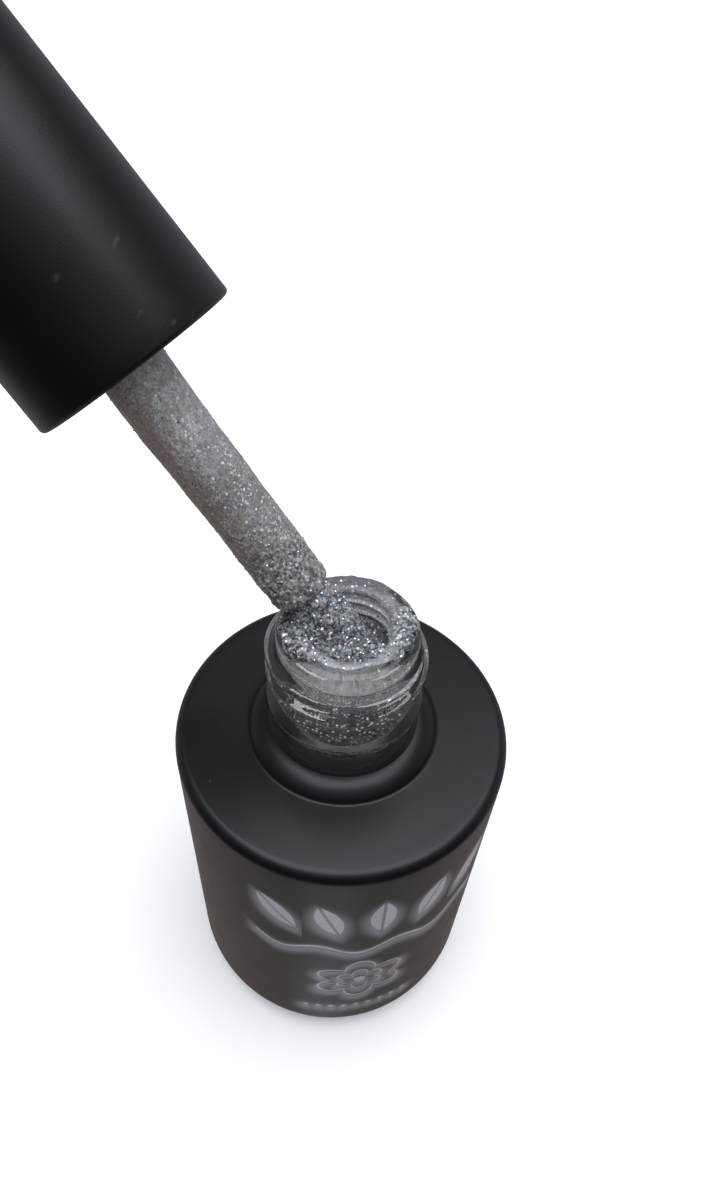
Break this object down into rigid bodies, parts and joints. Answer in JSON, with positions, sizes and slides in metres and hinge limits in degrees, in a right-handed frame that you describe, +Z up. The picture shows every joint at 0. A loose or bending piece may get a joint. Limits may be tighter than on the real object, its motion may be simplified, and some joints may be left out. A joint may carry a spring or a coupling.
{
  "type": "nail polish bottle",
  "caption": "Open round gel polish bottle with a matt black body, a clear screw neck and a tall brush cap leaning in its mouth, coated with glitter gel.",
  "frame": {"origin": "centre of the flat base that the bottle stands on", "axes": "+Z up the bottle's axis, -Y towards the viewer; the brush cap leans 40.3 degrees from +Z, towards a heading 19.6 degrees round from -X to +Y"},
  "size_m": [0.061, 0.0365, 0.1042],
  "materials": {
    "bottle_glass": "matt black coat outside, left clear on the neck",
    "glitter_gel": "wet silver glitter gel",
    "cap_shell": "soft matt black",
    "inner_plastic": "moulded polypropylene",
    "liner_foam": "soft polyethylene foam",
    "stem_plastic": "natural polyethylene",
    "anchor_metal": "crimped wire",
    "bristle_fibre": "fine nylon, wet with gel"
  },
  "bodies": {
    "bottle": {"glass_bottle": "bottle_glass", "polish_fill": "glitter_gel"},
    "bristles": {"bristle_tuft": "bristle_fibre"},
    "anchor": {"bristle_anchor": "anchor_metal", "stem_gel": "glitter_gel"},
    "cap": {"outer_cap": "cap_shell", "inner_cap": "inner_plastic", "cap_liner": "liner_foam", "brush_stem": "stem_plastic"}
  },
  "joints": [
    {"name": "brush_lift", "type": "slide", "parent": "bottle", "child": "bristles", "axis": [0, 0, 1], "range_m": [0, 0.06]},
    {"name": "cap_tilt", "type": "hinge", "parent": "bristles", "child": "anchor", "pos_m": [-0.00316, 0.00194, 0.05268], "axis": [0.3355, 0.9421, 0], "range_deg": [0, 40.3]},
    {"name": "cap_turn", "type": "hinge", "parent": "anchor", "child": "cap", "pos_m": [-0.00316, 0.00194, 0.05268], "axis": [-0.6093, 0.217, 0.7627], "continuous": true}
  ]
}
